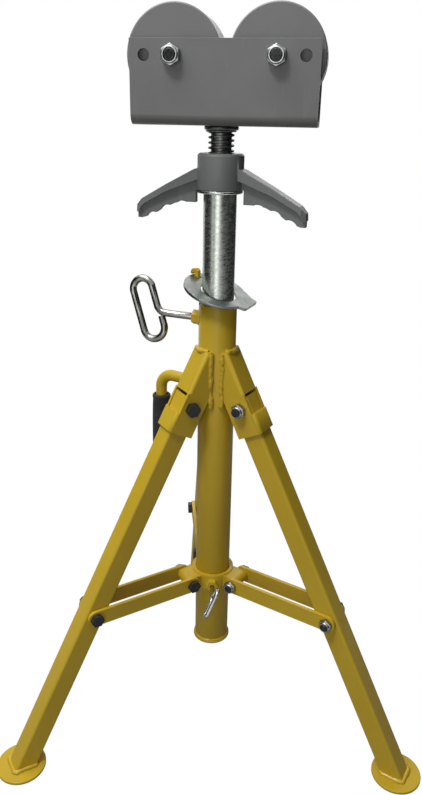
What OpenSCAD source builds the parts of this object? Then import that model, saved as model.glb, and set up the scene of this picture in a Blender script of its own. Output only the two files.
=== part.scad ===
// Folding pipe roller support: tripod mast, jack screw and two-roller head.
// Millimetres. The mast axis is Z, the floor is Z = 0, the pipe runs along the rollers' axle direction.

/* [Mast] */
// outer tube diameter
outer_d = 50.8; // [42:0.1:64]
// inner tube diameter
inner_d = 42.2; // [34:0.1:52]
// wall of both tubes
tube_wall = 3.5; // [2:0.1:5]
// height of the outer tube's top rim
outer_top = 656; // [500:1:800]
// height of the outer tube's lower end
outer_low = 124; // [80:1:200]
// height of the inner tube's top end
inner_top = 797.5; // [720:0.5:900]
// length of the inner tube
inner_len = 430; // [300:1:520]

/* [Jack] */
// screw major diameter
screw_d = 32; // [24:1:40]
// screw pitch
screw_pitch = 6; // [4:1:8]
// hub diameter of the handle nut
hub_d = 58; // [48:1:70]
// hub height
hub_h = 43; // [30:1:60]
// reach of each handle arm from the axis
arm_reach = 113; // [80:1:150]
// how far the handle is turned from the X axis
arm_turn = -19; // [-90:1:90]

/* [Roller head] */
// how far the head is turned from the X axis
head_turn = -9; // [-90:1:90]
// saddle length
saddle_len = 219; // [160:1:260]
// saddle side height
saddle_h = 92; // [70:1:120]
// saddle width over both sides
saddle_w = 78; // [60:1:100]
// saddle plate thickness
saddle_t = 6; // [4:0.5:10]
// length of screw that shows between the hub and the saddle
screw_out = 31.2; // [15:0.1:60]
// how far the saddle's middle is off the screw
saddle_shift = 6.5; // [-10:0.5:10]
// roller diameter
roller_d = 111; // [80:1:118]
// roller width
roller_w = 54; // [40:1:70]
// half of the distance between the axles
axle_x = 60; // [56:1:80]
// half of the distance between the spare holes
spare_x = 92.5; // [85:0.5:100]
// axle's distance below the saddle's upper edge
axle_drop = 17.5; // [14:0.5:22]

/* [Tripod] */
// leg angle from the mast when open
leg_angle = 27.2; // [20:0.1:35]
// leg tube size across flats
leg_w = 30; // [25:1:40]
// leg tube wall
leg_wall = 2.5; // [1.5:0.1:4]
// pivot distance from the axis
pivot_r = 48; // [45:1:60]
// pivot height
pivot_z = 520; // [450:1:560]
// collar pin distance from the axis
pin_r = 44; // [40:1:50]
// collar pin height
pin_z = 235; // [200:1:280]
// link outer pin, along the leg from the pivot
link_at = 325; // [280:1:360]
// direction of the back leg
back_az = 95.5; // [85:0.5:105]
// foot pad diameter
foot_d = 70; // [50:1:90]
// foot pad thickness
foot_t = 5; // [3:0.5:8]

/* [Clamp] */
// direction of the lock screw
clamp_az = 158; // [90:1:270]
// direction of the hook and the clamp plate
hook_az = 136; // [90:1:270]
// clamp plate tilt when it holds
clamp_tilt = 20; // [14:0.5:21]
// clamp plate height at the axis
clamp_z = 670; // [668.5:0.1:674]
// lock screw height
lock_z = 634; // [620:1:640]

/* [Carry handle] */
// direction of the handle
carry_az = 150; // [120:1:180]
// rod diameter
carry_d = 16; // [10:1:20]
// grip diameter
grip_d = 28; // [22:1:36]
// reach of the grip from the axis
carry_r = 92; // [80:1:120]
// height of the upper rod
carry_z = 540; // [500:1:560]

/* [Hidden] */
$fn = 64;
gap = 0.3;
outer_r = outer_d / 2;
inner_r = inner_d / 2;
bore_r = outer_r - tube_wall;
washer_h = 4;
hub_z = inner_top + washer_h + gap;
saddle_z = hub_z + hub_h + screw_out;
axle_z = saddle_z + saddle_h - axle_drop;
screw_r = screw_d / 2;
screw_len = 236;
leg_az = [210, 330, back_az];
leg_side = leg_w / 2;
plate_in = leg_side + 0.6;
bracket_t = 3.5;
link_t = 5;
bolt_r = 6;
link_bolt_r = 5;
foot_r = pivot_r + pivot_z * tan(leg_angle);
out_r = pivot_r + link_at * sin(leg_angle);
out_z = pivot_z - link_at * cos(leg_angle);
link_len = sqrt(pow(out_r - pin_r, 2) + pow(out_z - pin_z, 2));
link_drop = atan2(out_z - pin_z, out_r - pin_r);
side_y = saddle_w / 2;
hook_in = 36;
hook_out = 42.5;

// Helpers

module ring(od, id, h) {
  difference() {
    cylinder(d = od, h = h);
    translate([0, 0, -1]) cylinder(d = id, h = h + 2);
  }
}

// a cylinder across the Y direction, from y0 to y1
module cross(r, y0, y1) {
  translate([0, y1, 0]) rotate([90, 0, 0]) cylinder(r = r, h = y1 - y0);
}

module hex_across(flats, y0, y1) {
  translate([0, y1, 0]) rotate([90, 0, 0]) cylinder(d = flats / cos(30), h = y1 - y0, $fn = 6);
}

// straight length of bent rod, let into the bends at its ends, then whatever follows
module run(d, len) {
  translate([0, 0, -0.8]) cylinder(d = d, h = len + 1.6);
  translate([0, 0, len]) children();
}

// bend of the rod towards +X, swollen a little as a bent rod is, then whatever follows
module turn(d, r, a) {
  translate([r, 0, 0]) rotate([90, 0, 0]) rotate([0, 0, 180 - a])
    rotate_extrude(angle = a) translate([r, 0]) circle(d = d + 0.2);
  translate([r - r * cos(a), 0, r * sin(a)]) rotate([0, a, 0]) children();
}

module rounded_square(w, r) {
  square([w - 2 * r, w], center = true);
  square([w, w - 2 * r], center = true);
  for (x = [-1, 1], y = [-1, 1]) translate([x * (w / 2 - r), y * (w / 2 - r)]) circle(r = r);
}

// Mast

module outer_tube() {
  color([0.78, 0.66, 0.13]) difference() {
    translate([0, 0, outer_low]) ring(outer_d, 2 * bore_r, outer_top - outer_low);
    rotate([0, 0, clamp_az]) translate([0, 0, lock_z]) rotate([0, 90, 0]) cylinder(r = 5.4, h = 40);
  }
}

module tube_end() {
  color([0.78, 0.66, 0.13]) translate([0, 0, outer_low]) mirror([0, 0, 1]) union() {
    cylinder(d = outer_d, h = 3);
    translate([0, 0, 3]) cylinder(d = outer_d + 5, h = 4);
  }
}

// length of pressed channel with rounded outer bends, its web at x = -out
module channel(out, bend, wide, z0, z1) {
  translate([0, 0, z0]) linear_extrude(height = z1 - z0) difference() {
    union() {
      translate([-out, bend - wide]) square([out + wide, 2 * (wide - bend)]);
      translate([bend - out, -wide]) square([out + wide - bend, 2 * wide]);
      for (s = [-1, 1]) translate([bend - out, s * (wide - bend)]) circle(r = bend);
    }
    translate([bracket_t - out, -plate_in]) square([out + 2 * wide, 2 * plate_in]);
  }
}

// pressed along the leg: an upper channel level with the leg's face, cheeks, and a bridge the leg rests against
module bracket(az) {
  cover = leg_side + gap + bracket_t;
  wide = plate_in + bracket_t;
  slit = -18;
  bridge_top = 11;
  low_end = 38.7;
  color([0.78, 0.66, 0.13]) rotate([0, 0, az]) difference() {
    translate([pivot_r, 0, pivot_z]) rotate([0, 180 - leg_angle, 0]) difference() {
      union() {
        channel(leg_side, 5, wide, -100, slit);
        channel(cover, 5, wide, bridge_top, low_end);
        for (s = [0, 1]) mirror([0, s, 0]) translate([-leg_side, plate_in, slit - 1])
          cube([leg_side + wide, bracket_t, bridge_top - slit + 2]);
      }
      cross(bolt_r + 0.05, -40, 40);
    }
    translate([0, 0, pivot_z - 120]) cylinder(r = outer_r, h = 250);
    translate([-100, -100, pivot_z + 76]) cube([200, 200, 80]);
  }
}

module bracket_left() { bracket(leg_az[0]); }
module bracket_right() { bracket(leg_az[1]); }
module bracket_back() { bracket(leg_az[2]); }

module pivot_bolts() {
  face = plate_in + bracket_t;
  color([0.1, 0.1, 0.1]) for (az = leg_az) rotate([0, 0, az]) translate([pivot_r, 0, pivot_z]) {
    cross(bolt_r, -face - 13, face);
    hex_across(18, face, face + 7.5);
  }
}

module pivot_nuts() {
  face = plate_in + bracket_t;
  color([0.7, 0.7, 0.7]) for (az = leg_az) rotate([0, 0, az]) translate([pivot_r, 0, pivot_z]) difference() {
    hex_across(18, -face - 11, -face);
    cross(bolt_r, -50, 0);
  }
}

module hook() {
  profile = [[22, 646], [27.5, 646], [hook_out + 6, 668], [hook_out, 675], [hook_out, clamp_z + 20.8],
             [hook_out + 3.5, clamp_z + 20.8], [hook_out + 5, clamp_z + 18], [hook_out + 8, clamp_z + 19.5],
             [hook_out + 7, clamp_z + 23.5], [hook_out + 3.5, clamp_z + 26.5], [hook_in + 3, clamp_z + 27],
             [hook_in, clamp_z + 24], [hook_in, 671], [27, 656], [22, 656]];
  color([0.78, 0.66, 0.13]) rotate([0, 0, hook_az]) difference() {
    translate([0, 3, 0]) rotate([90, 0, 0]) linear_extrude(height = 6) polygon(profile);
    translate([0, 0, 600]) cylinder(r = outer_r, h = 60);
  }
}

module lock_boss() {
  color([0.78, 0.66, 0.13]) rotate([0, 0, clamp_az]) difference() {
    translate([outer_r - 4, 0, lock_z]) rotate([0, 90, 0]) cylinder(d = 20, h = 14, $fn = 6);
    cylinder(r = outer_r, h = 700);
    translate([0, 0, lock_z]) rotate([0, 90, 0]) cylinder(r = 5.4, h = 60);
  }
}

module carry_rod() {
  color([0.78, 0.66, 0.13]) rotate([0, 0, carry_az]) difference() {
    translate([outer_r - 4, 0, carry_z]) rotate([0, 90, 0])
      run(carry_d, carry_r - outer_r + 4 - 20) turn(carry_d, 20, 90) run(carry_d, 128.4);
    translate([0, 0, carry_z - 140]) cylinder(r = outer_r, h = 250);
    for (az = [leg_az[0], leg_az[2]]) rotate([0, 0, az - carry_az])
      translate([0, -plate_in - bracket_t, carry_z - 30]) cube([60, 2 * (plate_in + bracket_t), 60]);
  }
}

module carry_grip() {
  color([0.06, 0.06, 0.06]) rotate([0, 0, carry_az]) translate([carry_r, 0, carry_z - 153.2]) difference() {
    cylinder(d = grip_d, h = 122);
    translate([0, 0, 4]) cylinder(d = carry_d, h = 130);
  }
}

// Inner mast and jack

module inner_tube() {
  color([0.75, 0.76, 0.77]) translate([0, 0, inner_top - inner_len])
    ring(inner_d, inner_d - 2 * tube_wall, inner_len);
}

module thrust_washer() {
  color([0.75, 0.76, 0.77]) translate([0, 0, inner_top]) ring(hub_d - 1, screw_d + 1.4, washer_h);
}

module handle_nut() {
  top = [[20, 27], [31, 24], [70, 4], [104, -15], [112, -23], [113, -32], [109, -34],
         [106, -27], [100, -21], [70, -5], [20, 14]];
  web = [[20, 18], [70, -1], [104, -19], [112, -27], [112, -40], [106, -40], [92, -36], [80, -28],
         [60, -19], [44, -17], [31.5, -17], [31.5, 0], [20, 0]];
  plan = [[0, -13], [40, -12], [106, -9.5], [113, -6], [113, 6], [106, 9.5], [40, 12], [0, 13]];
  scale_r = arm_reach / 113;
  color([0.42, 0.43, 0.42]) rotate([0, 0, arm_turn]) difference() {
    union() {
      translate([0, 0, hub_z]) cylinder(d = hub_d, h = hub_h - 2.5);
      translate([0, 0, hub_z + hub_h - 2.5]) cylinder(d1 = hub_d, d2 = hub_d - 5, h = 2.5);
      for (s = [0, 180]) rotate([0, 0, s]) scale([scale_r, 1, 1]) {
        intersection() {
          translate([0, 14, hub_z]) rotate([90, 0, 0]) linear_extrude(height = 28) polygon(top);
          translate([0, 0, hub_z - 60]) linear_extrude(height = 110) polygon(plan);
        }
        translate([0, 4, hub_z]) rotate([90, 0, 0]) linear_extrude(height = 8) difference() {
          polygon(web);
          translate([50, -28]) circle(d = 24);
          translate([70, -34]) circle(d = 24);
          translate([90, -44]) circle(d = 24);
        }
      }
    }
    cylinder(r = screw_r + gap, h = 1000);
  }
}

// Roller head, all turned and set off together

module head_turned() { rotate([0, 0, head_turn]) translate([saddle_shift, 0, 0]) children(); }

module jack_screw() {
  color([0.13, 0.13, 0.13]) translate([0, 0, saddle_z - screw_len]) cylinder(r = screw_r, h = screw_len);
}

module screw_flange() {
  color([0.2, 0.2, 0.2]) translate([0, 0, saddle_z - 5]) ring(screw_d + 10, screw_d, 5);
}

// channel folded from plate, with its lower bends rounded and two pairs of axle holes
module saddle() {
  bend = 12;
  color([0.42, 0.43, 0.42]) head_turned() difference() {
    translate([-saddle_len / 2, 0, saddle_z]) rotate([90, 0, 90]) linear_extrude(height = saddle_len) {
      difference() {
        union() {
          translate([-side_y, bend]) square([saddle_w, saddle_h - bend]);
          translate([-side_y + bend, 0]) square([saddle_w - 2 * bend, saddle_h]);
          for (s = [-1, 1]) translate([s * (side_y - bend), bend]) circle(r = bend);
        }
        translate([-side_y + saddle_t, bend]) square([saddle_w - 2 * saddle_t, saddle_h]);
        translate([-side_y + bend, saddle_t]) square([saddle_w - 2 * bend, saddle_h]);
        for (s = [-1, 1]) translate([s * (side_y - bend), bend]) circle(r = bend - saddle_t);
      }
    }
    for (x = [-axle_x, axle_x]) translate([x, 0, axle_z]) cross(bolt_r + 0.05, -side_y - 1, side_y + 1);
    for (x = [-spare_x, spare_x]) translate([x, 0, axle_z]) cross(bolt_r + 0.8, -side_y - 1, side_y + 1);
  }
}

module axle_bolts() {
  color([0.1, 0.1, 0.1]) head_turned() for (x = [-axle_x, axle_x]) translate([x, 0, axle_z]) {
    cross(bolt_r, -side_y - 13, side_y);
    hex_across(19, side_y, side_y + 7.5);
  }
}

module axle_nuts() {
  color([0.75, 0.76, 0.77]) head_turned() for (x = [-axle_x, axle_x]) translate([x, 0, axle_z]) difference() {
    hex_across(21, -side_y - 11, -side_y);
    cross(bolt_r, -80, 0);
  }
}

module axle_spacers() {
  long = side_y - saddle_t - roller_w / 2 - gap;
  color([0.75, 0.76, 0.77]) head_turned() for (x = [-axle_x, axle_x], s = [0, 1])
    translate([x, 0, axle_z]) mirror([0, s, 0]) difference() {
      cross(11, roller_w / 2 + gap, roller_w / 2 + gap + long);
      cross(bolt_r, 0, 80);
    }
}

// turned steel roller, plain on both faces, with broken edges
module roller(x) {
  color([0.45, 0.46, 0.46]) head_turned() translate([x, roller_w / 2, axle_z]) rotate([90, 0, 0])
    rotate_extrude() polygon([[11, 0], [roller_d / 2 - 1.5, 0], [roller_d / 2, 1.5], [roller_d / 2, roller_w - 1.5],
                              [roller_d / 2 - 1.5, roller_w], [11, roller_w]]);
}

module roller_left() { roller(-axle_x); }
module roller_right() { roller(axle_x); }

module bush(x) {
  color([0.72, 0.55, 0.25]) head_turned() translate([x, 0, axle_z]) difference() {
    cross(11, -roller_w / 2, roller_w / 2);
    cross(bolt_r + gap, -roller_w, roller_w);
  }
}

module bush_left() { bush(-axle_x); }
module bush_right() { bush(axle_x); }

// Clamp

// friction plate: round, with the hook's slot near one edge and a slanted thumb tab, tilted on the mast
module clamp_plate() {
  half_t = 2;
  hole_r = 24.2;
  slot = 4.7;
  hook_at = (hook_in + hook_out) / 2 / cos(clamp_tilt);
  tab = [[0, 8], [-33, 16], [-37, 5], [-38.5, -1], [-44.5, -5], [-46, -8], [-38.5, -35.5], [-36, -37.5], [-28, -36.5],
         [-20, -38], [-12, -40], [0, -30]];
  color([0.62, 0.62, 0.6]) rotate([0, 0, hook_az]) translate([0, 0, clamp_z]) rotate([0, -clamp_tilt, 0])
    translate([0, 0, -half_t]) linear_extrude(height = 2 * half_t) difference() {
      union() {
        translate([6, 0]) circle(r = 43);
        polygon(tab);
      }
      circle(r = hole_r);
      translate([hook_at - slot, -3.6]) square([2 * slot, 7.2]);
    }
}

// bent rod screw: shank, then an upright paper-clip handle
module lock_screw() {
  d = 10;
  color([0.78, 0.79, 0.8]) rotate([0, 0, clamp_az]) translate([inner_r + gap + 0.8, 0, lock_z]) rotate([0, 90, 0])
    run(d, 55) rotate([0, 0, 189]) turn(d, 15, 69) run(d, 26.5) rotate([0, 0, 180]) turn(d, 14.8, 180)
      run(d, 55) turn(d, 16, 180) run(d, 11.7);
}

// Tripod

module leg(az) {
  color([0.78, 0.66, 0.13]) rotate([0, 0, az]) difference() {
    translate([pivot_r, 0, pivot_z]) rotate([0, 180 - leg_angle, 0]) difference() {
      translate([0, 0, -14]) linear_extrude(height = 640) difference() {
        rounded_square(leg_w, 4);
        rounded_square(leg_w - 2 * leg_wall, 2);
      }
      cross(bolt_r + gap, -30, 30);
      translate([0, 0, link_at]) cross(8, -30, 30);
    }
    translate([0, -100, foot_t - 200]) cube([600, 200, 200]);
  }
}

module leg_left() { leg(leg_az[0]); }
module leg_right() { leg(leg_az[1]); }
module leg_back() { leg(leg_az[2]); }

module foot(az) {
  color([0.78, 0.66, 0.13]) rotate([0, 0, az]) translate([foot_r, 0, 0]) cylinder(d = foot_d, h = foot_t);
}

module foot_left() { foot(leg_az[0]); }
module foot_right() { foot(leg_az[1]); }
module foot_back() { foot(leg_az[2]); }

// bush through the leg at the link's outer pin
module leg_bush(az) {
  color([0.78, 0.66, 0.13]) rotate([0, 0, az]) translate([out_r, 0, out_z]) cross(8, -leg_side, leg_side);
}

module leg_bush_left() { leg_bush(leg_az[0]); }
module leg_bush_right() { leg_bush(leg_az[1]); }
module leg_bush_back() { leg_bush(leg_az[2]); }

// two flat links, one on each side of the leg
module links(az) {
  color([0.78, 0.66, 0.13]) rotate([0, 0, az]) for (s = [0, 1]) mirror([0, s, 0])
    translate([pin_r, plate_in + link_t, pin_z]) rotate([0, -link_drop, 0]) rotate([90, 0, 0])
      linear_extrude(height = link_t) difference() {
        union() {
          circle(r = 12);
          translate([link_len, 0]) circle(r = 12);
          translate([0, -12]) square([link_len, 24]);
        }
        circle(r = link_bolt_r);
        translate([link_len, 0]) circle(r = link_bolt_r);
      }
}

module links_left() { links(leg_az[0]); }
module links_right() { links(leg_az[1]); }
module links_back() { links(leg_az[2]); }

// bolt through the collar lug, and the head end of the outer pin's bolt
module link_bolts(az) {
  face = plate_in + link_t;
  color([0.1, 0.1, 0.1]) rotate([0, 0, az]) {
    translate([pin_r, 0, pin_z]) {
      cross(link_bolt_r, -face - 10, face);
      hex_across(17, face, face + 6.5);
    }
    translate([out_r, 0, out_z]) {
      cross(link_bolt_r, plate_in, face);
      hex_across(17, face, face + 6.5);
    }
  }
}

module link_bolts_left() { link_bolts(leg_az[0]); }
module link_bolts_right() { link_bolts(leg_az[1]); }
module link_bolts_back() { link_bolts(leg_az[2]); }

// nut of the lug bolt, and the nut end of the outer pin's bolt
module link_nuts(az) {
  face = plate_in + link_t;
  color([0.7, 0.7, 0.7]) rotate([0, 0, az]) {
    translate([pin_r, 0, pin_z]) difference() {
      hex_across(17, -face - 8, -face);
      cross(link_bolt_r, -60, 0);
    }
    translate([out_r, 0, out_z]) {
      cross(link_bolt_r, -face - 10, -plate_in);
      hex_across(17, -face - 8, -face);
    }
  }
}

module link_nuts_left() { link_nuts(leg_az[0]); }
module link_nuts_right() { link_nuts(leg_az[1]); }
module link_nuts_back() { link_nuts(leg_az[2]); }

// sliding collar with three lugs and a boss for its thumb screw
module collar() {
  low = 221;
  high = 246;
  lug = leg_side + gap;
  color([0.78, 0.66, 0.13]) difference() {
    union() {
      translate([0, 0, low]) cylinder(r = 31.5, h = high - low);
      for (az = leg_az) rotate([0, 0, az]) {
        translate([0, -lug, pin_z - 9]) cube([pin_r, 2 * lug, 18]);
        translate([pin_r, 0, pin_z]) cross(9, -lug, lug);
      }
      translate([0, 0, pin_z - 2]) rotate([90, 0, 0]) cylinder(d = 18, h = 40, $fn = 6);
    }
    translate([0, 0, low - 1]) cylinder(r = outer_r + 0.5, h = 40);
    for (az = leg_az) rotate([0, 0, az]) translate([pin_r, 0, pin_z]) cross(link_bolt_r + gap, -30, 30);
    translate([0, 0, pin_z - 2]) rotate([90, 0, 0]) cylinder(r = 3.4, h = 60);
  }
}

module collar_screw() {
  d = 6;
  color([0.78, 0.79, 0.8]) translate([0, -(outer_r + gap + 0.8), pin_z - 2]) rotate([90, 0, 0]) rotate([0, 0, 245])
    run(d, 40) turn(d, 7, 75) run(d, 13) rotate([0, 0, 180]) turn(d, 5.5, 180) run(d, 29) turn(d, 7.5, 180) run(d, 4);
}

outer_tube();
tube_end();
bracket_left();
bracket_right();
bracket_back();
pivot_bolts();
pivot_nuts();
hook();
lock_boss();
carry_rod();
carry_grip();
inner_tube();
thrust_washer();
handle_nut();
jack_screw();
screw_flange();
saddle();
axle_bolts();
axle_nuts();
axle_spacers();
roller_left();
roller_right();
bush_left();
bush_right();
clamp_plate();
lock_screw();
collar();
collar_screw();
leg_left();
leg_right();
leg_back();
foot_left();
foot_right();
foot_back();
leg_bush_left();
leg_bush_right();
leg_bush_back();
links_left();
links_right();
links_back();
link_bolts_left();
link_bolts_right();
link_bolts_back();
link_nuts_left();
link_nuts_right();
link_nuts_back();
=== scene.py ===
"""Looks of the folding pipe roller support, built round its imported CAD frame."""
import math
import bpy
from mathutils import Matrix, Vector


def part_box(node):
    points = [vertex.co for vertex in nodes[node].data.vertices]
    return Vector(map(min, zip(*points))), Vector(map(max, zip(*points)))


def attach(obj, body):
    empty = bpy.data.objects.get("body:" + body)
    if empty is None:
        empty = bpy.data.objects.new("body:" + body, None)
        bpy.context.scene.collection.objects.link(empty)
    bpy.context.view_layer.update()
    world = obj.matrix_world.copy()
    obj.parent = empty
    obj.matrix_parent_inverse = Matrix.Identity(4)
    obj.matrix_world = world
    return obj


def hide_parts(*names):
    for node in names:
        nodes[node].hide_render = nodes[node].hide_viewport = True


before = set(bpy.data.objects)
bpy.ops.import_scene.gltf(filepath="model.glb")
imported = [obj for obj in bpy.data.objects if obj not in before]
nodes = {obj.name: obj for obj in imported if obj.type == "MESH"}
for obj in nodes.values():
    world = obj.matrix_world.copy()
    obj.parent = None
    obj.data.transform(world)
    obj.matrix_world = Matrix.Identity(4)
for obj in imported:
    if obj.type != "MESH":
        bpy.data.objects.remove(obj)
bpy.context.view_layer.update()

# Outer tube and its closed lower end: drawn steel tube with a thicker foot ring welded on below,
# all sprayed with one coat of yellow enamel that has a fine orange peel and few rubbed edges.


def plain_material(name, rough, metallic):
    """A new material, its node tree and its surface node."""
    m = bpy.data.materials.new(name)
    m.use_nodes = True
    b = m.node_tree.nodes["Principled BSDF"]
    b.inputs["Roughness"].default_value = rough
    b.inputs["Metallic"].default_value = metallic
    return m, m.node_tree, b


def cloudy(t, scale, detail, stretch=(1, 1, 1)):
    """Noise fixed to the piece, with features about 1 / scale metres wide."""
    where = t.nodes.new("ShaderNodeTexCoord")
    frame_of = t.nodes.new("ShaderNodeMapping")
    frame_of.inputs["Scale"].default_value = stretch
    n = t.nodes.new("ShaderNodeTexNoise")
    n.inputs["Scale"].default_value = scale
    n.inputs["Detail"].default_value = detail
    t.links.new(where.outputs["Object"], frame_of.inputs["Vector"])
    t.links.new(frame_of.outputs["Vector"], n.inputs["Vector"])
    return n.outputs["Fac"]


def between(t, value, low, high, to_low, to_high):
    """Maps low..high to to_low..to_high, and clips what lies outside."""
    r = t.nodes.new("ShaderNodeMapRange")
    r.inputs["From Min"].default_value = low
    r.inputs["From Max"].default_value = high
    r.inputs["To Min"].default_value = to_low
    r.inputs["To Max"].default_value = to_high
    t.links.new(value, r.inputs["Value"])
    return r.outputs["Result"]


def blended(t, amount, first, second):
    """Goes from the first colour to the second; each is a tuple or another node's output."""
    m = t.nodes.new("ShaderNodeMix")
    m.data_type = "RGBA"
    t.links.new(amount, m.inputs["Factor"])
    for socket, v in ((m.inputs["A"], first), (m.inputs["B"], second)):
        if isinstance(v, tuple):
            socket.default_value = (*v, 1)
        else:
            t.links.new(v, socket)
    return m.outputs["Result"]


def grained(t, b, height, strength, depth):
    """Lets height roughen the surface without changing its shape."""
    n = t.nodes.new("ShaderNodeBump")
    n.inputs["Strength"].default_value = strength
    n.inputs["Distance"].default_value = depth
    t.links.new(height, n.inputs["Height"])
    t.links.new(n.outputs["Normal"], b.inputs["Normal"])


def rubbed_edges(t, radius):
    """Where the surface turns within radius, broken up by a fine noise."""
    soft = t.nodes.new("ShaderNodeBevel")
    soft.samples = 4
    soft.inputs["Radius"].default_value = radius
    here = t.nodes.new("ShaderNodeNewGeometry")
    same = t.nodes.new("ShaderNodeVectorMath")
    same.operation = "DOT_PRODUCT"
    t.links.new(soft.outputs["Normal"], same.inputs[0])
    t.links.new(here.outputs["Normal"], same.inputs[1])
    edge = between(t, same.outputs["Value"], 0.985, 0.86, 0.0, 1.0)
    broken = t.nodes.new("ShaderNodeMath")
    broken.operation = "MULTIPLY"
    t.links.new(edge, broken.inputs[0])
    t.links.new(between(t, cloudy(t, 130, 5), 0.35, 0.62, 0.0, 0.85), broken.inputs[1])
    return broken.outputs[0]


def enamel(name, fresh, faded, rubbed, rough, peel, shine=0.29):
    """Sprayed paint: cloudy colour, a little dust, lighter rubbed edges and orange peel."""
    m, t, b = plain_material(name, rough, 0.0)
    b.inputs["Specular IOR Level"].default_value = shine
    coat = blended(t, between(t, cloudy(t, 7, 4), 0.35, 0.65, 0, 1), fresh, faded)
    dust = between(t, cloudy(t, 70, 9, (1, 1, 0.35)), 0.60, 0.72, 0.0, 0.22)
    coat = blended(t, dust, coat, rubbed)
    coat = blended(t, rubbed_edges(t, 0.0016), coat, rubbed)
    t.links.new(coat, b.inputs["Base Color"])
    t.links.new(between(t, cloudy(t, 26, 5), 0.3, 0.7, rough - 0.06, rough + 0.08), b.inputs["Roughness"])
    grained(t, b, cloudy(t, peel, 3), 0.14, 0.0005)
    return m


def wear(material, *names):
    """Gives CAD nodes their material."""
    for n in names:
        nodes[n].data.materials.clear()
        nodes[n].data.materials.append(material)


def round_edges(name, width, steps=2, sharper_than=35):
    """Rounds a node's edges with live modifiers, and keeps its flats flat."""
    o = nodes[name]
    joined = o.modifiers.new("joined", "WELD")
    joined.merge_threshold = 2e-5
    flats = o.modifiers.new("flats", "DECIMATE")
    flats.decimate_type = "DISSOLVE"
    flats.angle_limit = math.radians(0.4)
    rounded = o.modifiers.new("rounded", "BEVEL")
    rounded.width = width
    rounded.segments = steps
    rounded.limit_method = "ANGLE"
    rounded.angle_limit = math.radians(sharper_than)
    rounded.use_clamp_overlap = True
    rounded.harden_normals = True


YELLOW = enamel("yellow_enamel", (0.625, 0.430, 0.027), (0.585, 0.395, 0.024), (0.70, 0.50, 0.06), 0.36, 300)
# Weld beads: a glossier copy of the same enamel whose lighter base colour is a painted highlight for their
# glints.
BEAD_YELLOW_PAINTED_HIGHLIGHT = enamel("yellow_beads_painted_highlight", (0.67, 0.462, 0.028), (0.63, 0.424, 0.025), (0.72, 0.53, 0.07), 0.18, 160,
                     shine=0.55)
wear(YELLOW, "outer_tube", "tube_end")
round_edges("outer_tube", 0.0006)
round_edges("tube_end", 0.0016, 3)


def alone():
    """Leaves edit mode, with nothing selected."""
    if bpy.context.object and bpy.context.object.mode != "OBJECT":
        bpy.ops.object.mode_set(mode="OBJECT")
    bpy.ops.object.select_all(action="DESELECT")


def active(o):
    """Makes o the only selected object and the active one."""
    alone()
    o.select_set(True)
    bpy.context.view_layer.objects.active = o


def settle(o):
    """Applies all modifiers of o."""
    active(o)
    for m in list(o.modifiers):
        bpy.ops.object.modifier_apply(modifier=m.name)


def closed_up(o):
    """Joins doubled corners, fills small holes and turns all faces outward."""
    active(o)
    bpy.ops.object.mode_set(mode="EDIT")
    bpy.ops.mesh.select_all(action="SELECT")
    bpy.ops.mesh.remove_doubles(threshold=1e-6)
    bpy.ops.mesh.fill_holes(sides=4)
    bpy.ops.mesh.select_all(action="SELECT")
    bpy.ops.mesh.normals_make_consistent(inside=False)
    bpy.ops.object.mode_set(mode="OBJECT")


def fitted(o, material, body, smooth=40):
    """Applies the piece's place, smooths it and lets it ride on its body."""
    active(o)
    bpy.ops.object.transform_apply(location=True, rotation=True, scale=True)
    bpy.ops.object.shade_smooth_by_angle(angle=math.radians(smooth))
    o.data.materials.clear()
    o.data.materials.append(material)
    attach(o, body)
    return o


def seam(name, points, closed=False):
    """An edge chain through points, drawn by extruding one corner along them."""
    alone()
    bpy.ops.mesh.primitive_plane_add(size=0.001)
    o = bpy.context.object
    o.name = name
    bpy.ops.object.mode_set(mode="EDIT")
    bpy.ops.mesh.select_mode(type="VERT")
    bpy.ops.mesh.select_all(action="SELECT")
    bpy.ops.mesh.merge(type="CENTER")
    bpy.ops.mesh.select_all(action="SELECT")
    bpy.ops.transform.translate(value=points[0])
    chain = list(points) + ([points[0]] if closed else [])
    for a, b in zip(chain, chain[1:]):
        step = tuple(q - p for p, q in zip(a, b))
        bpy.ops.mesh.extrude_vertices_move(TRANSFORM_OT_translate={"value": step})
    bpy.ops.mesh.select_all(action="SELECT")
    if closed:
        bpy.ops.mesh.remove_doubles(threshold=1e-6)
    bpy.ops.object.mode_set(mode="OBJECT")
    return o


RIPPLE = bpy.data.textures.new("weld_ripple", "CLOUDS")
RIPPLE.noise_scale = 0.0075


def weld_bead(name, points, radius, body, material, closed=False, cuts=5):
    """Hand-laid bead along the seam, uneven as the torch left it."""
    o = seam(name, points, closed)
    bpy.ops.object.mode_set(mode="EDIT")
    bpy.ops.mesh.select_all(action="SELECT")
    bpy.ops.mesh.subdivide(number_cuts=cuts)
    bpy.ops.object.mode_set(mode="OBJECT")
    bpy.ops.object.convert(target="CURVE")
    line = bpy.context.object
    line.data.bevel_depth = radius
    line.data.bevel_resolution = 3
    line.data.use_fill_caps = not closed
    bpy.ops.object.convert(target="MESH")
    o = bpy.context.object
    o.name = name
    closed_up(o)
    lumps = o.modifiers.new("lumps", "DISPLACE")
    lumps.texture = RIPPLE
    lumps.texture_coords = "LOCAL"
    lumps.strength = radius * 1.4
    lumps.mid_level = 0.48
    settle(o)
    return fitted(o, material, body, 70)


def circle(radius, z, count):
    """Points on a level ring round the mast axis."""
    return [(radius * math.cos(2 * math.pi * k / count), radius * math.sin(2 * math.pi * k / count), z)
            for k in range(count)]


TUBE_R, TUBE_LOW, FINE_BEAD = 0.0254, 0.1218, 0.0018
weld_bead("foot_ring_weld", circle(TUBE_R + 0.0002, TUBE_LOW, 24), FINE_BEAD, "mast", BEAD_YELLOW_PAINTED_HIGHLIGHT,
          closed=True, cuts=2)

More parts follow.
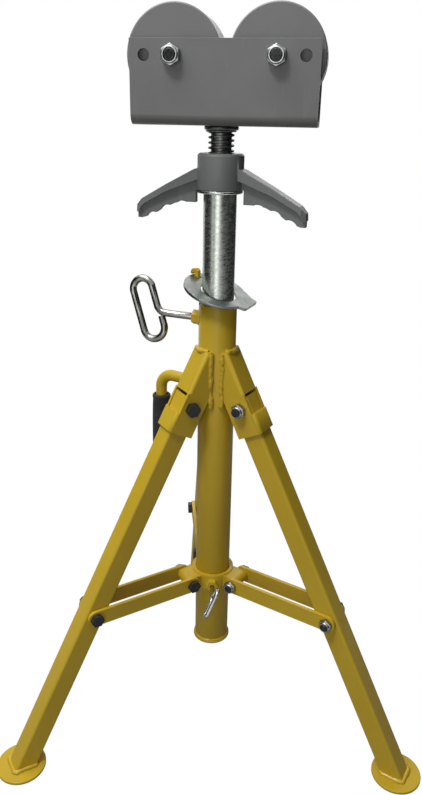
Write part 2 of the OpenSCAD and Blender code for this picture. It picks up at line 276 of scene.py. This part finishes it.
# Leg brackets: pressed channels welded to the tube along both cheeks and across the top,
# each with a black cap screw through it and a zinc lock nut on the far cheek.
LEG_AZ = {"left": 210.0, "right": 330.0, "back": 95.5}
PIVOT_R, PIVOT_Z, CHEEK = 0.048, 0.520, 0.0191
CHEEK_SEAM_R, CHEEK_RUN = 0.0188, (0.594, 0.586, 0.577, 0.569, 0.560, 0.551, 0.543, 0.534, 0.525, 0.517)
BRACKET_TOP, TOP_RUN = 0.5955, (-0.0152, -0.010, -0.005, 0.0, 0.005, 0.010, 0.0152)


def turned(deg):
    """Rotation about the mast axis."""
    return Matrix.Rotation(math.radians(deg), 4, "Z")


for side, az in LEG_AZ.items():
    wear(YELLOW, "bracket_" + side)
    round_edges("bracket_" + side, 0.0008)
    for tag, y in (("near", CHEEK), ("far", -CHEEK)):
        run = [tuple(turned(az) @ Vector((CHEEK_SEAM_R + 0.0006 * (k % 2), y * (0.93 + 0.02 * (k % 3)), z)))
               for k, z in enumerate(CHEEK_RUN)]
        weld_bead("bracket_weld_%s_%s" % (side, tag), run, 0.0034, "mast", YELLOW)
    across = [tuple(turned(az) @ Vector((math.sqrt(TUBE_R ** 2 - y * y) + 0.0012, y, BRACKET_TOP)))
              for y in TOP_RUN]
    weld_bead("bracket_top_weld_" + side, across, 0.0033, "mast", YELLOW)


def black_oxide():
    """Blackened bolt steel, worn to a dark grey on its edges."""
    m, t, b = plain_material("black_oxide", 0.42, 0.25)
    base = blended(t, between(t, cloudy(t, 160, 5), 0.35, 0.7, 0, 1), (0.012, 0.013, 0.013), (0.028, 0.03, 0.029))
    t.links.new(blended(t, rubbed_edges(t, 0.0008), base, (0.07, 0.072, 0.07)), b.inputs["Base Color"])
    t.links.new(between(t, cloudy(t, 210, 4), 0.3, 0.7, 0.34, 0.54), b.inputs["Roughness"])
    grained(t, b, cloudy(t, 600, 3), 0.12, 0.0003)
    return m


def plated(name, bright, dull, rough, scale, stretch, depth):
    """Bare or plated metal with a cloudy grain."""
    m, t, b = plain_material(name, rough, 1.0)
    grain = cloudy(t, scale, 6, stretch)
    t.links.new(blended(t, between(t, grain, 0.32, 0.68, 0, 1), dull, bright), b.inputs["Base Color"])
    patches = cloudy(t, scale * 1.7, 5, stretch)
    t.links.new(between(t, patches, 0.3, 0.7, rough - 0.07, rough + 0.1), b.inputs["Roughness"])
    grained(t, b, grain, 0.12, depth)
    return m


BLACK = black_oxide()
NUT_ZINC = plated("nut_zinc", (0.40, 0.41, 0.41), (0.24, 0.25, 0.25), 0.27, 150, (1, 1, 1), 0.0002)
wear(BLACK, "pivot_bolts")
round_edges("pivot_bolts", 0.0012, 3, 25)


def spun(o, steps, rise=0.0, turns=1):
    """Sweeps an edge chain round z, rising by rise in each turn, and closes what is left open."""
    sweep = o.modifiers.new("sweep", "SCREW")
    sweep.axis = "Z"
    sweep.screw_offset = rise
    sweep.iterations = turns
    sweep.steps = steps
    sweep.render_steps = steps
    sweep.use_merge_vertices = True
    sweep.merge_threshold = 1e-6
    settle(o)
    closed_up(o)
    return o


def lathed(name, profile, steps=40):
    """A turned piece from (radius, height) pairs."""
    return spun(seam(name, [(r, 0.0, z) for r, z in profile]), steps)


def lock_nut(flats, tall, bore):
    """Hexagon with chamfered corners and a round crimped collar, standing on z = 0."""
    alone()
    bpy.ops.mesh.primitive_cylinder_add(vertices=6, radius=flats / math.sqrt(3), depth=tall * 0.72,
                                        location=(0, 0, tall * 0.36))
    nut = bpy.context.object
    bpy.ops.object.transform_apply(location=True)
    corners = nut.modifiers.new("corners", "BEVEL")
    corners.width = flats * 0.055
    corners.segments = 3
    corners.limit_method = "ANGLE"
    corners.angle_limit = math.radians(45)
    settle(nut)
    c = flats * 0.455
    crimp = lathed("crimp", [(c, tall * 0.68), (c, tall * 0.84), (c * 0.96, tall * 0.94), (c * 0.87, tall),
                             (bore * 1.10, tall), (bore * 1.02, tall * 0.9), (bore * 1.02, tall * 0.68),
                             (c, tall * 0.68)])
    alone()
    crimp.select_set(True)
    nut.select_set(True)
    bpy.context.view_layer.objects.active = nut
    bpy.ops.object.join()
    return nut


def bolt_end(radius, low, high):
    """The chamfered end of a bolt, as it stands out of its nut."""
    return lathed("bolt_end", [(0.0, high), (radius * 0.74, high), (radius * 0.97, high - 0.0014),
                               (radius * 0.97, low), (0.0, low)])


def copied(o, name, place):
    """A copy of o with a mesh of its own."""
    c = o.copy()
    c.data = o.data.copy()
    c.name = name
    bpy.context.scene.collection.objects.link(c)
    c.matrix_world = place
    return c


def facing(az, r, y, z):
    """Place on the far cheek of a leg's plane, with local z pointing out of that cheek."""
    return turned(az) @ Matrix.Translation((r, y, z)) @ Matrix.Rotation(math.radians(90), 4, "X")


def nut_and_end(kind, tag, nut, end, place, body):
    """Copies of a lock nut and of the bolt end that stands out of it."""
    seated = fitted(copied(nut, "%s_nut_%s" % (kind, tag), place), NUT_ZINC, body, 35)
    fitted(copied(end, "%s_bolt_end_%s" % (kind, tag), place), BLACK, body, 35)
    return seated


pivot_nut, pivot_end = lock_nut(0.018, 0.0115, 0.006), bolt_end(0.006, 0.008, 0.0130)
for side, az in LEG_AZ.items():
    nut = nut_and_end("pivot", side, pivot_nut, pivot_end, facing(az, PIVOT_R, -CHEEK, PIVOT_Z), "mast")
    if side == "left":
        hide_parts("pivot_nuts")
bpy.data.objects.remove(pivot_nut)
bpy.data.objects.remove(pivot_end)

# Hook for the clamp plate and boss for the lock screw: flame-cut plate and a hexagonal nut,
# both welded on under the tube's top rim and painted with it.
CLAMP_AZ, LOCK_Z, BOSS_R = 158.0, 0.634, 0.0098
HOOK_AZ, HOOK_HALF, HOOK_RUN = 136.0, 0.0036, (0.6465, 0.649, 0.652, 0.6555)
wear(YELLOW, "hook", "lock_boss")
round_edges("hook", 0.0014, 3, 20)
round_edges("lock_boss", 0.0012, 2)
for tag, y in (("near", HOOK_HALF), ("far", -HOOK_HALF)):
    run = [tuple(turned(HOOK_AZ) @ Vector((TUBE_R + 0.0004, y, z))) for z in HOOK_RUN]
    weld_bead("hook_weld_" + tag, run, FINE_BEAD, "mast", BEAD_YELLOW_PAINTED_HIGHLIGHT)


def saddle_seam(az, r, z, count):
    """Where a round stub of radius r, standing out at azimuth az, meets the tube."""
    out = []
    for k in range(count):
        a = 2 * math.pi * k / count
        y = r * math.cos(a)
        out.append(tuple(turned(az) @ Vector((math.sqrt(TUBE_R ** 2 - y * y) + 0.0003, y, z + r * math.sin(a)))))
    return out


weld_bead("boss_weld", saddle_seam(CLAMP_AZ, BOSS_R, LOCK_Z, 16), FINE_BEAD, "mast", BEAD_YELLOW_PAINTED_HIGHLIGHT,
          closed=True, cuts=2)

# Carry handle: a bent yellow rod welded to the tube, with a black foam sleeve pushed on.
# The sleeve is a little barrel-shaped, with a rolled lip at its upper end.
wear(YELLOW, "carry_rod")
sleeve_low, sleeve_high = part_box("carry_grip")
z0, z1 = sleeve_low.z, sleeve_high.z
profile = [(0.0, z0), (0.0095, z0), (0.0120, z0 + 0.0012), (0.0131, z0 + 0.004), (0.0134, z0 + 0.020),
           (0.0139, z0 + 0.045), (0.0139, z0 + 0.070), (0.0135, z1 - 0.024), (0.0128, z1 - 0.009),
           (0.0127, z1 - 0.0065), (0.0134, z1 - 0.0045), (0.0134, z1 - 0.0022), (0.0122, z1 - 0.0004),
           (0.0100, z1), (0.0082, z1 - 0.0006), (0.0081, z0 + 0.004), (0.0, z0 + 0.004)]
sleeve = lathed("grip_sleeve", profile, 48)
sleeve.location = ((sleeve_low.x + sleeve_high.x) / 2, (sleeve_low.y + sleeve_high.y) / 2, 0)
round_off = sleeve.modifiers.new("round_off", "SUBSURF")
round_off.levels = round_off.render_levels = 1
settle(sleeve)


def black_foam():
    """Dull closed-cell foam with fine pores."""
    m, t, b = plain_material("black_foam", 0.82, 0.0)
    pores = cloudy(t, 1000, 3)
    t.links.new(blended(t, between(t, pores, 0.35, 0.65, 0, 1), (0.006, 0.0065, 0.0065), (0.024, 0.025, 0.025)),
                b.inputs["Base Color"])
    t.links.new(between(t, cloudy(t, 40, 4), 0.3, 0.7, 0.7, 0.92), b.inputs["Roughness"])
    grained(t, b, pores, 0.7, 0.0012)
    return m


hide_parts("carry_grip")
fitted(sleeve, black_foam(), "mast", 60)

# Inner tube and thrust washer: plated pipe with a cloudy zinc finish, mottled across the pipe,
# and a turned ring on its top end that the handle nut runs on.
TUBE_ZINC = plated("tube_zinc", (0.51, 0.545, 0.50), (0.38, 0.405, 0.37), 0.29, 190, (0.5, 0.5, 1.3), 0.0004)
WASHER_ZINC = plated("washer_zinc", (0.52, 0.53, 0.52), (0.33, 0.34, 0.33), 0.24, 90, (1, 1, 1), 0.0002)
wear(TUBE_ZINC, "inner_tube")
wear(WASHER_ZINC, "thrust_washer")
round_edges("thrust_washer", 0.0012, 3)

# Handle nut: grey painted iron casting with a round hub and two drooping arms of T section,
# whose webs have finger scallops; the sand mould leaves rounded edges and a coarse skin.
CAST_GREY = enamel("cast_grey", (0.22, 0.228, 0.224), (0.19, 0.198, 0.194), (0.31, 0.315, 0.31), 0.40, 170)
wear(CAST_GREY, "handle_nut")
round_edges("handle_nut", 0.0016, 3)

# Jack screw: dark oiled steel bar with one start of trapezoidal thread, welded to a small
# flange under the saddle.
PITCH, TURNS, CREST, ROOT, SCREW_LOW = 0.006, 38, 0.016, 0.0127, 0.640
SCREW_STEEL = plated("screw_steel", (0.16, 0.165, 0.158), (0.06, 0.063, 0.06), 0.38, 70, (1, 1, 1), 0.0003)
tooth = [(ROOT - 0.0005, 0.00168), (CREST, 0.0026), (CREST, 0.0046), (ROOT - 0.0005, 0.00552)]
thread = spun(seam("jack_thread", [(r, 0.0, SCREW_LOW + z) for r, z in tooth], closed=True), 40, PITCH, TURNS)
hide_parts("jack_screw")
fitted(thread, SCREW_STEEL, "head", 30)
screw_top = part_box("jack_screw")[1].z
core_r, core_low, core_top = ROOT + 0.0001, SCREW_LOW + 0.0002, screw_top - 0.0002
core = lathed("jack_core", [(0.0, core_low), (0.0105, core_low), (core_r, SCREW_LOW + 0.003),
                            (core_r, screw_top - 0.008), (0.0152, screw_top - 0.005), (0.0160, core_top),
                            (0.0, core_top)])
fitted(core, SCREW_STEEL, "head", 30)
wear(SCREW_STEEL, "screw_flange")
round_edges("screw_flange", 0.0018, 3)
FLANGE_SEAM_R, FLANGE_DROP = 0.0172, 0.0056
weld_bead("flange_weld", circle(FLANGE_SEAM_R, screw_top - FLANGE_DROP, 20), 0.0015, "head", SCREW_STEEL,
          closed=True, cuts=2)

# Saddle: channel folded from plate, painted grey, with two pairs of axle holes. The axle bolts are
# black, with zinc lock nuts on the front side and plain spacers inside.
HEAD_AZ, HEAD_SHIFT, SADDLE_HALF, AXLE_X, AXLE_Z = -9.0, 0.0065, 0.039, 0.060, 0.9505
PLATE_GREY = enamel("plate_grey", (0.205, 0.21, 0.205), (0.188, 0.193, 0.188), (0.29, 0.292, 0.288), 0.42, 340)
wear(PLATE_GREY, "saddle")
round_edges("saddle", 0.0015, 3, 50)
wear(BLACK, "axle_bolts")
round_edges("axle_bolts", 0.0012, 3, 25)
wear(NUT_ZINC, "axle_spacers")
axle_nut, axle_end = lock_nut(0.021, 0.0118, 0.0068), bolt_end(0.0068, 0.008, 0.0130)
for side, x in (("left", -AXLE_X), ("right", AXLE_X)):
    place = facing(HEAD_AZ, x + HEAD_SHIFT, -SADDLE_HALF, AXLE_Z)
    nut = nut_and_end("axle", side, axle_nut, axle_end, place, "head")
    if side == "left":
        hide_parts("axle_nuts")
bpy.data.objects.remove(axle_nut)
bpy.data.objects.remove(axle_end)

# Rollers: plain turned steel wheels, sprayed grey like the saddle. Each is pressed on a bronze
# bush that turns on its axle bolt.
ROLLER_GREY = enamel("roller_grey", (0.224, 0.227, 0.224), (0.207, 0.21, 0.207), (0.30, 0.302, 0.298), 0.44, 260)
BRONZE = plated("bush_bronze", (0.42, 0.29, 0.12), (0.26, 0.18, 0.075), 0.4, 90, (1, 1, 1), 0.0002)
wear(ROLLER_GREY, "roller_left", "roller_right")
wear(BRONZE, "bush_left", "bush_right")

# Clamp plate and lock screw: dull zinc friction plate that tilts on the hook, and a screw bent from bright plated
# rod into an upright loop handle. Both base colours are darker than the metals' own: painted shade and painted
# dark reflections.
# The plate's base colour is darkened below zinc's own tone: painted shade from the tube and a painted dark
# reflection.
CLAMP_ZINC_PAINTED_SHADE = plated("clamp_zinc_painted_shade", (0.26, 0.276, 0.26), (0.14, 0.15, 0.14), 0.30, 60, (1, 1, 1), 0.0003)
# The rod's base colour is held well below bright plated steel's own: a painted dark reflection of dark
# surroundings.
ROD_PAINTED_DARK_REFLECTION = plated("plated_rod_painted_dark_reflection", (0.29, 0.288, 0.265), (0.17, 0.168, 0.155), 0.13, 60, (1, 1, 1), 0.0001)
wear(CLAMP_ZINC_PAINTED_SHADE, "clamp_plate")
round_edges("clamp_plate", 0.0009, 2)
wear(ROD_PAINTED_DARK_REFLECTION, "lock_screw")
round_edges("lock_screw", 0.0010, 2, 60)

# Collar: cast ring with three lugs that slides on the tube, with a hexagonal boss for a small
# thumb screw bent from bright wire.
wear(YELLOW, "collar")
round_edges("collar", 0.0014, 3)
BRIGHT_WIRE = plated("bright_wire", (0.52, 0.52, 0.50), (0.36, 0.36, 0.345), 0.15, 60, (1, 1, 1), 0.0001)
wear(BRIGHT_WIRE, "collar_screw")
round_edges("collar_screw", 0.0006, 2, 60)

# Links: pairs of flat bars with round ends between the collar's lugs and the legs, on black bolts
# with zinc lock nuts.
LINK_FACE, COLLAR_PIN, LEG_PIN = 0.0206, (0.044, 0.235), (0.196556, 0.230938)
link_nut, link_end = lock_nut(0.017, 0.0088, 0.005), bolt_end(0.005, 0.006, 0.0099)
for side, az in LEG_AZ.items():
    wear(YELLOW, "links_" + side)
    round_edges("links_" + side, 0.0009, 2, 50)
    wear(BLACK, "link_bolts_" + side)
    round_edges("link_bolts_" + side, 0.0011, 3, 25)
    for end, (r, z) in (("inner", COLLAR_PIN), ("outer", LEG_PIN)):
        place = facing(az, r, -LINK_FACE, z)
        nut = nut_and_end("link", "%s_%s" % (end, side), link_nut, link_end, place, "link_" + side)
        if end == "inner":
            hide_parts("link_nuts_" + side)
bpy.data.objects.remove(link_nut)
bpy.data.objects.remove(link_end)

# Legs: square tube cut level at the floor, each welded all the way round to a flat round pad,
# and painted with it.
LEG_LEAN, LEG_HALF, LEG_CORNER = math.radians(27.2), 0.0152, 0.004
PAD_R, PAD_T = PIVOT_R + PIVOT_Z * math.tan(LEG_LEAN), 0.005
for side, az in LEG_AZ.items():
    wear(YELLOW, "leg_" + side, "foot_" + side, "leg_bush_" + side)
    round_edges("foot_" + side, 0.0012, 2)
    middle = PAD_R - PAD_T * math.tan(LEG_LEAN)
    flat_r, flat_y = LEG_HALF / math.cos(LEG_LEAN) - LEG_CORNER, LEG_HALF - LEG_CORNER
    ring = []
    for cx, cy, start in ((1, 1, 0), (-1, 1, 90), (-1, -1, 180), (1, -1, 270)):
        for a in (0, 45, 90):
            t = math.radians(start + a)
            ring.append(tuple(turned(az) @ Vector((middle + cx * flat_r + LEG_CORNER * math.cos(t),
                                                   cy * flat_y + LEG_CORNER * math.sin(t), PAD_T + 0.0012))))
    weld_bead("pad_weld_" + side, ring, 0.0030, "leg_" + side, BEAD_YELLOW_PAINTED_HIGHLIGHT, closed=True, cuts=4)

# Studio: the camera stands where the photograph was taken, with soft light from above, a broad
# panel in front, dark flags at the sides that only shape the reflections, and a grey paper floor
# that gives back some light without being seen.
scene = bpy.context.scene
PITCH_DOWN, ROLL, YAW = math.radians(21.7), 0.018, 0.0076
EYE, FOCAL_PX, PICTURE_PX = (0.0, -0.9205, 0.888), 710.0, 795.0
ahead = Vector((-math.sin(YAW), math.cos(YAW), 0.0))
right = Vector((math.cos(YAW), math.sin(YAW), 0.0))
up = Vector((0.0, 0.0, 1.0))
look = ahead * math.cos(PITCH_DOWN) - up * math.sin(PITCH_DOWN)
over = up * math.cos(PITCH_DOWN) + ahead * math.sin(PITCH_DOWN)
cam_x = right * math.cos(ROLL) + over * math.sin(ROLL)
cam_y = over * math.cos(ROLL) - right * math.sin(ROLL)
lens = bpy.data.cameras.new("camera")
lens.sensor_fit = "VERTICAL"
lens.sensor_height = 24.0
lens.lens = FOCAL_PX * lens.sensor_height / PICTURE_PX
lens.clip_start = 0.01
camera = bpy.data.objects.new("camera", lens)
scene.collection.objects.link(camera)
camera.matrix_world = Matrix.Translation(EYE) @ Matrix((cam_x, cam_y, -look)).transposed().to_4x4()
scene.camera = camera
scene.view_settings.view_transform = "Standard"

world = bpy.data.worlds.new("studio")
scene.world = world
world.use_nodes = True
wt = world.node_tree
dim = wt.nodes["Background"]
dim.inputs["Color"].default_value = (1.0, 1.0, 1.0, 1.0)
dim.inputs["Strength"].default_value = 0.13
white = wt.nodes.new("ShaderNodeBackground")
white.inputs["Color"].default_value = (1.0, 1.0, 1.0, 1.0)
rays = wt.nodes.new("ShaderNodeLightPath")
either = wt.nodes.new("ShaderNodeMath")
either.operation = "MAXIMUM"
wt.links.new(rays.outputs["Is Camera Ray"], either.inputs[0])
wt.links.new(rays.outputs["Is Glossy Ray"], either.inputs[1])
any_of = wt.nodes.new("ShaderNodeMath")
any_of.operation = "MAXIMUM"
wt.links.new(either.outputs[0], any_of.inputs[0])
wt.links.new(rays.outputs["Is Transmission Ray"], any_of.inputs[1])
seen = wt.nodes.new("ShaderNodeMixShader")
wt.links.new(any_of.outputs[0], seen.inputs["Fac"])
wt.links.new(dim.outputs[0], seen.inputs[1])
wt.links.new(white.outputs[0], seen.inputs[2])
wt.links.new(seen.outputs[0], wt.nodes["World Output"].inputs["Surface"])


def soft_box(name, place, target, width, height, watts):
    """A flat lamp at place, turned towards target."""
    data = bpy.data.lights.new(name, "AREA")
    data.shape = "RECTANGLE"
    data.size, data.size_y = width, height
    data.energy = watts
    lamp = bpy.data.objects.new(name, data)
    scene.collection.objects.link(lamp)
    lamp.location = place
    lamp.rotation_euler = (Vector(target) - Vector(place)).to_track_quat("-Z", "Y").to_euler()


soft_box("key", (-0.70, -0.97, 2.6), (0, 0, 0.75), 0.34, 0.34, 15)
soft_box("overhead", (-0.65, 0.0, 2.5), (0, 0, 0.4), 1.8, 1.6, 36)
soft_box("front_panel", (-0.55, -2.0, 0.75), (0, 0, 0.62), 0.7, 1.5, 5.3)
soft_box("left_panel", (-1.2, -0.85, 1.8), (0, 0, 0.5), 0.9, 0.9, 3)
soft_box("low_fill", (0.2, -0.95, 0.35), (0, 0, 0.2), 0.4, 0.4, 0.28)
soft_box("back_fill", (0.3, 2.0, 1.5), (0, 0, 0.6), 1.2, 1.2, 6)


def dark_cloth():
    """The cloth of the flags."""
    m, t, b = plain_material("dark_cloth", 0.95, 0.0)
    t.links.new(blended(t, cloudy(t, 30, 4), (0.012, 0.012, 0.012), (0.03, 0.03, 0.03)), b.inputs["Base Color"])
    return m


FLAG = dark_cloth()
for name, place, spin, size in (("flag_left", (-1.35, 0.1, 0.75), 90, (2.0, 1.5)),
                                ("flag_right", (1.35, 0.5, 0.75), 90, (4.6, 1.5)),
                                ("flag_front", (0.75, -1.75, 0.75), 0, (1.2, 1.5)),
                                ("flag_corner", (-1.25, -1.55, 0.75), 25, (0.55, 1.5))):
    alone()
    bpy.ops.mesh.primitive_grid_add(x_subdivisions=8, y_subdivisions=8, size=1, location=place,
                                    rotation=(math.radians(90), 0, math.radians(spin)))
    flag = bpy.context.object
    flag.name = name
    flag.scale = (size[0], size[1], 1)
    flag.visible_camera = False
    flag.data.materials.append(FLAG)

FADE_FROM, FADE_TO = 0.55, 1.25
alone()
bpy.ops.mesh.primitive_grid_add(x_subdivisions=10, y_subdivisions=10, size=5, location=(0, 0.3, -0.0002))
floor = bpy.context.object
floor.name = "floor"
floor.visible_camera = False
floor.visible_shadow = False
paper, pt, pb = plain_material("studio_paper", 0.7, 0.0)
pt.links.new(blended(pt, cloudy(pt, 1.5, 3), (0.29, 0.29, 0.28), (0.31, 0.31, 0.30)), pb.inputs["Base Color"])
where = pt.nodes.new("ShaderNodeTexCoord")
span = pt.nodes.new("ShaderNodeVectorMath")
span.operation = "LENGTH"
pt.links.new(where.outputs["Object"], span.inputs[0])
clear = pt.nodes.new("ShaderNodeBsdfTransparent")
fade = pt.nodes.new("ShaderNodeMixShader")
pt.links.new(between(pt, span.outputs["Value"], FADE_FROM, FADE_TO, 0.0, 1.0), fade.inputs["Fac"])
pt.links.new(pb.outputs[0], fade.inputs[1])
pt.links.new(clear.outputs[0], fade.inputs[2])
pt.links.new(fade.outputs[0], pt.nodes["Material Output"].inputs["Surface"])
floor.data.materials.append(paper)

alone()
